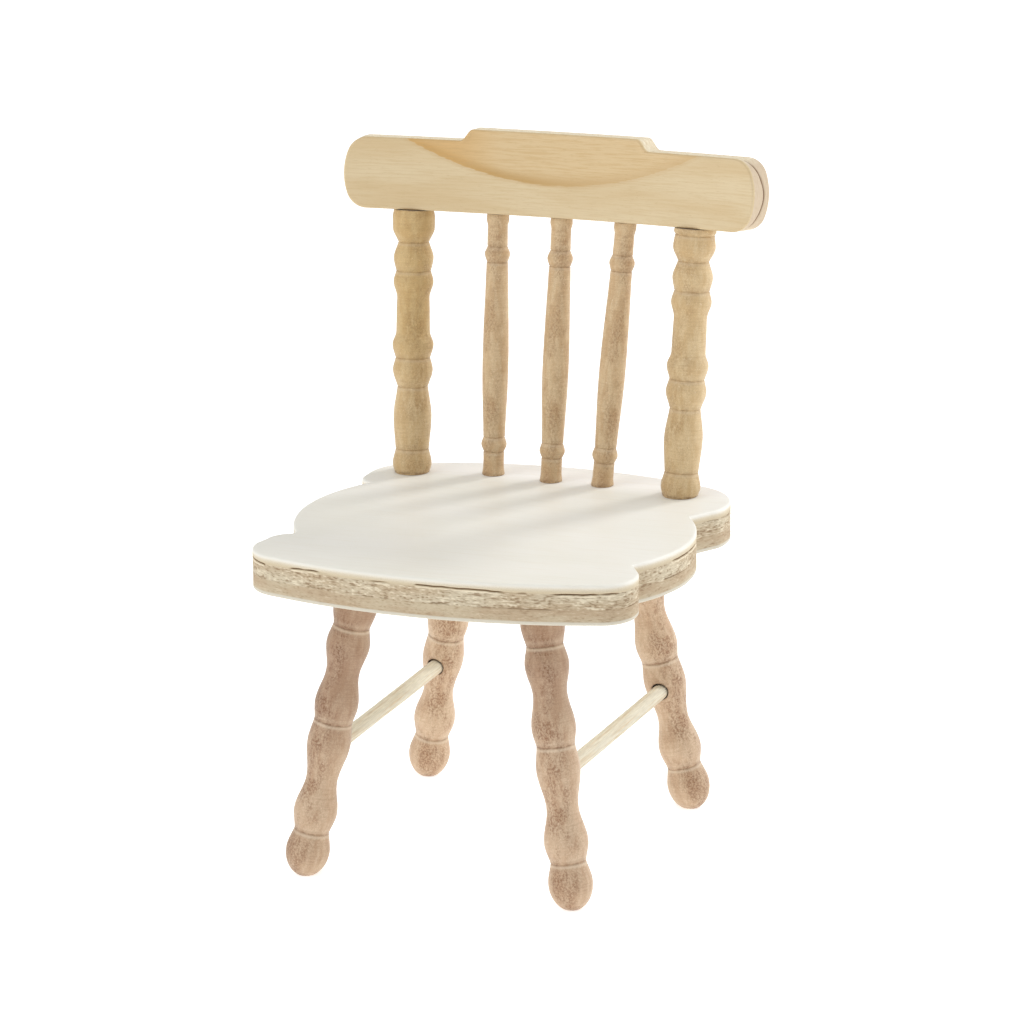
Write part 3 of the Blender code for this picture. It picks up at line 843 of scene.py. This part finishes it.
def seat_plywood():
    """Cream sanded faces with almost no grain, and a sawn edge that shows the plies."""
    wood = Material("seat_plywood", {"Specular IOR Level": 0.3})
    grain = wood.vector("grain")
    blotch = wood.noise(grain, (0.07, 0.1, 0.1))
    lines = wood.noise(grain, (0.12, 2.4, 1.0), 3.0, 0.6)
    _, back, _ = wood.parts(grain)
    face = wood.between(blotch, 0.3, 0.7, (242, 240, 232), (239, 237, 227))
    # Painted light: the top is painted whiter towards its rear edge, behind the back, where the rail
    # and posts shade it.
    face = wood.over(face, back, 15.0, 20.0, 0.9, (252, 250, 246))
    face = wood.over(face, lines, 0.45, 0.75, 0.12, (221, 208, 182))
    edge = wood.vector("edge")
    _, depth, rim = wood.parts(edge)
    streaks = wood.noise(edge, (1.1, 9.0, 0.0), 5.0, 0.8)
    crumbs = wood.noise(edge, (5.0, 12.0, 0.0), 2.0, 0.6)
    tint = wood.noise(edge, (0.12, 0.5, 0.0))
    # Painted shade in the pits of the torn core and painted highlight on its ridges, mixed with the
    # streaks' own dark and light, here and on the ply below.
    pit_shade = wood.times(wood.value("pit_shade"), 0.45)
    dark = wood.math("ADD", pit_shade, wood.math("SUBTRACT", streaks, 0.5))
    core = wood.between(tint, 0.35, 0.65, (201, 188, 163), (187, 168, 140))
    core = wood.over(core, dark, 0.03, 0.28, 0.8, (140, 116, 88))
    core = wood.over(core, dark, -0.05, -0.28, 0.65, (234, 223, 198))
    ply = wood.between(tint, 0.35, 0.65, (195, 180, 153), (183, 162, 134))
    ply = wood.over(ply, dark, 0.02, 0.26, 0.7, (150, 124, 96))
    ply = wood.over(ply, dark, -0.06, -0.28, 0.5, (222, 208, 182))
    veneer = wood.ramp(streaks, 0.4, 0.7, 0.0, 0.4)
    veneer = wood.mix(veneer, colour(212, 206, 190), colour(192, 181, 160))
    top_ply = wood.between(depth, 0.35, 1.0, (222, 213, 194), (206, 191, 162))
    top_ply = wood.over(top_ply, crumbs, 0.4, 0.7, 0.35, (188, 172, 145))
    cut = wood.mix(wood.ramp(depth, GLUE_LINE - 0.06, GLUE_LINE + 0.06), core, ply)
    cut = wood.mix(wood.ramp(depth, LOWER_VENEER - 0.08, LOWER_VENEER + 0.08), cut, veneer)
    cut = wood.mix(wood.ramp(depth, TOP_VENEER + 0.05, TOP_VENEER - 0.1), cut, top_ply)
    # Painted highlight on the torn lip under the split.
    cut = wood.over(cut, wood.value("lip_highlight"), 0.2, 0.9, 0.7, (240, 228, 202))
    base = wood.mix(rim, face, cut)
    # Painted shade in the splits.
    base = wood.over(base, wood.value("painted_shade"), 0.1, 0.8, 0.9, (112, 84, 50))
    rough = wood.ramp(rim, 0.0, 1.0, 0.42, 0.8)
    bumps = wood.times(wood.math("ADD", streaks, crumbs), wood.math("ADD", rim, 0.03))
    return wood.finish(base, rough, bumps, 0.05)


def rail_plywood():
    """Honey coloured veneer with a fine straight grain, a darker hollow and a paler sawn edge."""
    wood = Material("rail_plywood", {"Specular IOR Level": 0.3})
    grain = wood.vector("grain")
    along, _, _ = wood.parts(grain)
    lines = wood.noise(grain, (0.22, 4.0, 0.5), 4.0, 0.65)
    bands = wood.noise(grain, (0.05, 0.3, 0.2), 3.0)
    pores = wood.ramp(wood.noise(grain, (1.1, 9.0, 1.0)), 0.6, 0.72, 0.0, 0.5)
    face = wood.between(bands, 0.35, 0.65, (216, 197, 161), (209, 186, 146))
    face = wood.over(face, lines, 0.42, 0.66, 0.38, (198, 172, 128))
    waves = wood.ramp(lines, 0.2, 0.8, -0.12, 0.12)
    above = wood.math("ADD", wood.value("above_hollow"), waves)
    low = wood.times(wood.ramp(above, 1.7, 0.1), wood.ramp(along, -8.0, 14.0, 1.0, 0.3))
    hollow = wood.mix(low, colour(213, 188, 146), colour(190, 154, 98))
    hollow = wood.over(hollow, along, -6.0, -14.0, 0.7, (208, 167, 106))
    hollow = wood.over(hollow, lines, 0.42, 0.66, 0.5, (196, 163, 112))
    face = wood.mix(wood.ramp(above, 0.0, 0.14), face, hollow)
    rim_line = wood.times(wood.ramp(above, -0.5, -0.05), wood.ramp(above, 0.1, -0.02))
    face = wood.mix(wood.times(rim_line, 0.35), face, colour(200, 170, 124))
    edge = wood.vector("edge")
    _, depth, rim = wood.parts(edge)
    streaks = wood.noise(edge, (1.2, 6.0, 0.0), 4.0, 0.7)
    spots = wood.noise(edge, (5.0, 9.0, 0.0))
    cut = wood.between(streaks, 0.35, 0.65, (236, 227, 204), (214, 196, 164))
    cut = wood.over(cut, wood.math("ABSOLUTE", along), 24.5, 26.5, 0.75, (194, 173, 148))
    cut = wood.over(cut, spots, 0.6, 0.72, 0.4, (188, 160, 126))
    cut = wood.over(cut, depth, 0.5, 0.3, 0.75, (205, 184, 140))
    base = wood.mix(rim, face, cut)
    base = wood.mix(wood.times(pores, 0.5), base, colour(176, 146, 100))
    # Painted shade in the split.
    base = wood.over(base, wood.value("painted_shade"), 0.2, 0.8, 0.85, (112, 76, 50))
    rough = wood.ramp(rim, 0.0, 1.0, 0.42, 0.75)
    return wood.finish(base, rough, wood.math("ADD", lines, streaks), 0.03)


# ---- the pieces


LEGS = ("front_leg_left", "front_leg_right", "rear_leg_left", "rear_leg_right")
# Posts and spindles, as (seed, slot, pin radius, points round it, turnings).
BACK_MEMBERS = {
    "back_post_left": (211, "post_wood", POST_PIN_RADIUS, 72, POST_PROFILE),
    "back_post_right": (212, "post_wood", POST_PIN_RADIUS, 72, POST_PROFILE[:-3] + POST_COLLAR),
    "spindle_left": (321, "spindle_wood", SPINDLE_PIN_RADIUS, 56, SPINDLE_PROFILE),
    "spindle_centre": (322, "spindle_wood", SPINDLE_PIN_RADIUS, 56, SPINDLE_PROFILE),
    "spindle_right": (323, "spindle_wood", SPINDLE_PIN_RADIUS, 56, SPINDLE_PROFILE),
}
# How much darker the top of a piece is, and for a leg, from which height up. On the front legs
# this is a painted shadow of the seat.
LEG_SEAT_SHADOWS = {"front_leg_left": (1.0, 23.0), "front_leg_right": (1.0, 28.5)}
LEG_SEAT_SHADOW_REACH = 16.0
BACK_DARKER_TOPS = {"back_post_left": 0.75}
# How strong the painted shade and painted highlights at the grooves of posts and spindles are.
BACK_GROOVE_SHADING = 0.35
DARKER_TOP_AT_FOOT = 0.15
LEG_SEGMENTS = 72
DOWEL_SEGMENTS = 40
DOWEL_RINGS = 160
DOWEL_WOBBLE = 1.3
JOINT_GAP = 0.04
RAIL_JOINT_GAP = 0.08
UP = Vector((0.0, 0.0, 1.0))


def upright_axis(node):
    """An upright's foot, its way up, and where its axis meets the board that it is pinned into.

    A leg's foot is its ball's middle, and a post's or spindle's foot is where it meets the seat.
    """
    foot_height, pin_length = (SEAT_TOP, BACK_PIN_LENGTH)
    if node in LEGS:
        foot_height, pin_length = (FOOT_CENTRE_Z, LEG_PIN_LENGTH)
    end, way = pin_end(node, (0.0, 0.0, 1.0))
    foot = end + way * ((foot_height - end.z) / way.z)
    return foot, way, end - way * pin_length


def stretcher_ends(side):
    """A stretcher's two ends, from front to rear."""
    return [pin_end("side_stretcher_" + side, (0.0, way, 0.0))[0] for way in (-1.0, 1.0)]


def socket_shade(piece, mouth, along):
    """The painted shade round a leg's socket, from the middle of its mouth and the way into it."""
    gap = points_of(piece) - np.array(mouth)
    way_in = gap @ np.array(along)
    away = np.linalg.norm(gap - way_in[:, None] * np.array(along), axis=1)
    near = (way_in > -0.5) * (way_in < 4.0)
    return 0.75 * bell(np.maximum(away - SOCKET_RADIUS, 0.0), 0.12) * near


def make_leg(node, seed, material):
    """One leg, with its ball foot flat on the floor and its socket drilled."""
    foot, way, top = upright_axis(node)
    length = (top - foot).length
    turnings = list(LEG_PROFILE) + [(length, LEG_SHOULDER_RADIUS, "step")]
    profile, grooves = profile_points(turnings)
    profile += [(length, LEG_PIN_RADIUS), (length + LEG_PIN_LENGTH, LEG_PIN_RADIUS)]
    plane = Vector((0.0, 0.0, SEAT_UNDERSIDE - JOINT_GAP))
    landings = ((length, plane, UP, 1.6),)
    piece, turn = turned(node + "_turned", foot, way, profile, landings, LEG_SEGMENTS, seed)
    front, rear = stretcher_ends("left" if node.endswith("left") else "right")
    near, far = (front, rear) if node.startswith("front") else (rear, front)
    along = (far - near).normalized()
    mouth = near + UP * SOCKET_LIFT
    drilled(piece, [(SOCKET_RADIUS, mouth - along * SOCKET_RUN_OUT, mouth + along * SOCKET_DEPTH)])
    # The front legs' darker tops are a painted shadow of the seat.
    share, height = LEG_SEAT_SHADOWS.get(node, (0.0, 0.0))
    darker_top = (share, height, LEG_SEAT_SHADOW_REACH)
    fleck_turn = view_turn(turn, 25.0 * (seed % 5 - 2))
    # Painted shade round the socket's mouth.
    painted_shade = socket_shade(piece, mouth, along)
    mark_turned(piece, foot, turn, grooves, ((length, 0.16),), fleck_turn, darker_top=darker_top, painted_shade=painted_shade)
    finish_piece(piece, node, material)


def make_back_member(node, woods):
    """One post or spindle, cut to stand on the seat and to meet the rail's underside."""
    seed, slot, pin_radius, segments, turnings = BACK_MEMBERS[node]
    foot, way, top = upright_axis(node)
    length = (top - foot).length
    turnings = [(share * length, radius, kind) for share, radius, kind in turnings]
    profile, grooves = profile_points(turnings)
    profile = [(-BACK_PIN_LENGTH, pin_radius), (0.0, pin_radius)] + profile
    profile += [(length, pin_radius), (length + BACK_PIN_LENGTH, pin_radius)]
    landings = (
        (0.0, Vector((0.0, 0.0, SEAT_TOP + JOINT_GAP)), UP, 0.8),
        (length, top - RAIL_UP * RAIL_JOINT_GAP, RAIL_UP, 0.9),
    )
    piece, turn = turned(node + "_turned", foot, way, profile, landings, segments, seed)
    # Painted shade at both ends, where the piece meets the seat and the rail.
    ends = ((0.0, 0.22), (length, 0.14))
    # The left post is darker towards its top.
    darker_top = (BACK_DARKER_TOPS.get(node, 0.0), length * 0.6, length * 0.35)
    fleck_turn = view_turn(turn, 20.0 * (seed % 4 - 1))
    mark_turned(piece, foot, turn, grooves, ends, fleck_turn, BACK_GROOVE_SHADING, darker_top)
    finish_piece(piece, node, woods[slot])


def make_stretcher(side, seed, material):
    """One dowel, a little uneven, with its ends eased."""
    front, rear = stretcher_ends(side)
    way = (rear - front).normalized()
    length = (rear - front).length
    inner = np.linspace(DOWEL_EASE, length - DOWEL_EASE, DOWEL_RINGS)
    eased = DOWEL_RADIUS - DOWEL_EASE
    profile = [(0.0, eased), *((height, DOWEL_RADIUS) for height in inner), (length, eased)]
    node = "side_stretcher_" + side
    piece, turn = turned(
        node + "_dowel", front, way, profile, (), DOWEL_SEGMENTS, seed, DOWEL_WOBBLE
    )
    # Painted shade at both ends, where the dowel goes into the legs.
    mark_turned(piece, front, turn, (), ((0.0, 0.5), (length, 0.5)), 0.0)
    finish_piece(piece, node, material)


def pin_hole(radius, mouth, way, length):
    """The hole for a pin of this radius and length, which goes in at the mouth."""
    bottom = mouth + way * (length + HOLE_SPARE)
    return radius + PIN_CLEARANCE, mouth - way * HOLE_RUN_OUT, bottom


def make_seat(material):
    """The seat board, drilled for the legs from below and for the back from above."""
    def place(across, back, depth):
        return np.stack((across, back, SEAT_TOP - depth), -1)

    stations = wall_stations(SEAT_THICKNESS, SEAT_TOP_ARRIS, SEAT_BOTTOM_ARRIS, 0.085)
    piece, (loop, distances) = board(
        "seat_board", seat_outline(), stations, 0.15, 0.6, seat_relief, seat_face, place
    )
    holes = []
    for node in LEGS:
        _, way, top = upright_axis(node)
        holes.append(pin_hole(LEG_PIN_RADIUS, top, way, LEG_PIN_LENGTH))
    for node, (_, _, pin_radius, _, _) in BACK_MEMBERS.items():
        foot, way, _ = upright_axis(node)
        holes.append(pin_hole(pin_radius, foot, -way, BACK_PIN_LENGTH))
    drilled(piece, holes)
    spots = points_of(piece)
    depth = SEAT_TOP - spots[:, 2]
    along, off = edge_distance(spots[:, :2], loop, distances)
    rim = (1 - smooth_step(off, 0.45, 0.75)) * smooth_step(depth, 0.12, 0.6)
    set_values(piece, "grain", spots)
    set_values(piece, "edge", np.column_stack((along, depth, rim)))
    # Painted shade in the core's pits and painted highlight on its ridges.
    set_values(piece, "pit_shade", seat_pits(along, depth) * seat_core(depth))
    # Painted highlight on the split's lip.
    set_values(piece, "lip_highlight", seat_lip_highlight(along, depth))
    # Painted shade in the splits.
    set_values(piece, "painted_shade", seat_crack(along, depth) * rim)
    finish_piece(piece, "seat", material, 50.0)


def rail_foot():
    """The bottom of the rail's middle, from its box: ends are foremost and the top is hindmost."""
    low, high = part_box("crest_rail")
    lowest = RAIL_THICKNESS / 2 * math.sin(RAIL_LEAN)
    height = low.z / MM + lowest
    hindmost = RAIL_THICKNESS / 2 * math.cos(RAIL_LEAN) + RAIL_RAISED_HEIGHT * math.sin(RAIL_LEAN)
    return Vector(((low.x + high.x) / 2 / MM, high.y / MM - hindmost, height))


def make_rail(material):
    """The bent crest rail, drilled for the back's pins from below."""
    foot = rail_foot()
    cos_lean, sin_lean = math.cos(RAIL_LEAN), math.sin(RAIL_LEAN)

    def place(along, height, depth):
        turn = along / RAIL_BEND_RADIUS
        reach = RAIL_BEND_RADIUS + depth - RAIL_THICKNESS / 2
        back = reach * np.cos(turn) - RAIL_BEND_RADIUS
        y = back * cos_lean + height * sin_lean
        z = height * cos_lean - back * sin_lean
        return np.stack((reach * np.sin(turn), y, z), -1) + np.array(foot)

    stations = wall_stations(RAIL_THICKNESS, RAIL_ARRIS, RAIL_ARRIS, 0.1)
    piece, (loop, distances) = board(
        "crest_rail_board", rail_outline(), stations, 0.16, 0.3, rail_relief, rail_face, place
    )
    holes = []
    for node, (_, _, pin_radius, _, _) in BACK_MEMBERS.items():
        _, way, top = upright_axis(node)
        holes.append(pin_hole(pin_radius, top, way, BACK_PIN_LENGTH))
    drilled(piece, holes)
    x, y, z = (points_of(piece) - np.array(foot)).T
    height = y * sin_lean + z * cos_lean
    back = y * cos_lean - z * sin_lean
    along = np.arctan2(x, back + RAIL_BEND_RADIUS) * RAIL_BEND_RADIUS
    depth = np.hypot(x, back + RAIL_BEND_RADIUS) - RAIL_BEND_RADIUS + RAIL_THICKNESS / 2
    around, off = edge_distance(np.column_stack((along, height)), loop, distances)
    rim = (1 - smooth_step(off, 0.3, 0.5)) * smooth_step(depth, 0.08, 0.25)
    rim *= 1 - smooth_step(depth, RAIL_THICKNESS - 0.25, RAIL_THICKNESS - 0.08)
    front = 1 - smooth_step(depth, 0.5, 1.0)
    set_values(piece, "grain", np.column_stack((along, height, depth)))
    set_values(piece, "edge", np.column_stack((around, depth, rim)))
    # Painted shade in the split.
    set_values(piece, "painted_shade", rail_crack(around, depth, np.column_stack((along, height))) * rim)
    set_values(piece, "above_hollow", above_hollow(along, height) * front - 1.0 * (1 - front))
    finish_piece(piece, "crest_rail", material, 50.0)


def make_chair():
    """Every piece of the chair."""
    woods = {slot: turned_wood(slot) for slot in TURNED_WOODS}
    dowel_material = dowel_wood()
    make_seat(seat_plywood())
    make_rail(rail_plywood())
    for seed, node in enumerate(LEGS, 101):
        make_leg(node, seed, woods["leg_wood"])
    for node in BACK_MEMBERS:
        make_back_member(node, woods)
    for seed, side in enumerate(("left", "right"), 431):
        make_stretcher(side, seed, dowel_material)


# ---- studio


CAMERA_AZIMUTH = 20.294
CAMERA_ELEVATION = 15.981
CAMERA_ROLL = -0.55
CAMERA_DISTANCE = 503.32
CAMERA_AIM = Vector((2.746, -2.319, 42.325))
CAMERA_LENS = 147.3
FLOOR_HALF_SIZE = 4000.0
WORLD_STRENGTH = 0.6
BACKGROUND_STRENGTH = 1.1
# Soft lights, as (name, azimuth, elevation, distance and size in metres, strength).
LIGHTS = (
    ("key", 148.4, 40.0, 0.8, 0.13, 0.27),
    ("fill", -50.0, 35.0, 0.8, 0.6, 0.34),
    ("side", 124.0, 24.0, 0.5, 0.4, 0.32),
)
LIGHTS_AIM = Vector((0.0, 0.0, 0.04))


def towards(azimuth, elevation):
    """The way from the chair to a place round it: azimuth 0 is in front, and 90 is on its right."""
    a, e = math.radians(azimuth), math.radians(elevation)
    return Vector((math.sin(a) * math.cos(e), -math.cos(a) * math.cos(e), math.sin(e)))


def make_camera():
    """A camera at the angle that the chair is seen from."""
    camera = placed("camera", bpy.data.cameras.new("camera"))
    camera.data.lens = CAMERA_LENS
    camera.data.clip_start = 0.01
    camera.data.clip_end = 20.0
    back = towards(CAMERA_AZIMUTH, CAMERA_ELEVATION)
    camera.location = (CAMERA_AIM + back * CAMERA_DISTANCE) * MM
    level = (-back).to_track_quat("-Z", "Y").to_matrix()
    camera.rotation_mode = "QUATERNION"
    roll = Matrix.Rotation(math.radians(CAMERA_ROLL), 3, "Z")
    camera.rotation_quaternion = (level @ roll).to_quaternion()
    bpy.context.scene.camera = camera


def make_floor():
    """A plain pale floor, lit a little from within like a light table."""
    signs = ((-1, -1), (1, -1), (1, 1), (-1, 1))
    corners = [(x * FLOOR_HALF_SIZE, y * FLOOR_HALF_SIZE, FLOOR) for x, y in signs]
    floor = mesh_object("floor", corners, [(0, 1, 2, 3)])
    look = {
        "Base Color": (0.86, 0.86, 0.86, 1.0), "Roughness": 0.9, "Specular IOR Level": 0.0,
        "Emission Color": (1.0, 1.0, 1.0, 1.0), "Emission Strength": 0.55,
    }
    floor.data.materials.append(Material("floor", look).material)


def make_light(name, azimuth, elevation, distance, size, strength):
    """A square soft light that lights the chair like a bright sky of this strength."""
    light = bpy.data.lights.new(name, "AREA")
    light.size = size
    light.energy = strength * (math.pi * distance) ** 2
    lamp = placed(name, light)
    back = towards(azimuth, elevation)
    lamp.location = back * distance + LIGHTS_AIM
    lamp.rotation_mode = "QUATERNION"
    lamp.rotation_quaternion = back.to_track_quat("Z", "Y")


def make_world():
    """Even soft light from all round, before a white background."""
    world = bpy.data.worlds.new("studio")
    bpy.context.scene.world = world
    world.use_nodes = True
    tree = world.node_tree
    background = tree.nodes["Background"]
    background.inputs["Color"].default_value = (1.0, 1.0, 1.0, 1.0)
    path = tree.nodes.new("ShaderNodeLightPath")
    strength = tree.nodes.new("ShaderNodeMapRange")
    strength.inputs["To Min"].default_value = WORLD_STRENGTH
    strength.inputs["To Max"].default_value = BACKGROUND_STRENGTH
    tree.links.new(path.outputs["Is Camera Ray"], strength.inputs["Value"])
    tree.links.new(strength.outputs[0], background.inputs["Strength"])


make_chair()
make_camera()
make_floor()
make_world()
for light in LIGHTS:
    make_light(*light)
bpy.context.scene.view_settings.view_transform = "Standard"
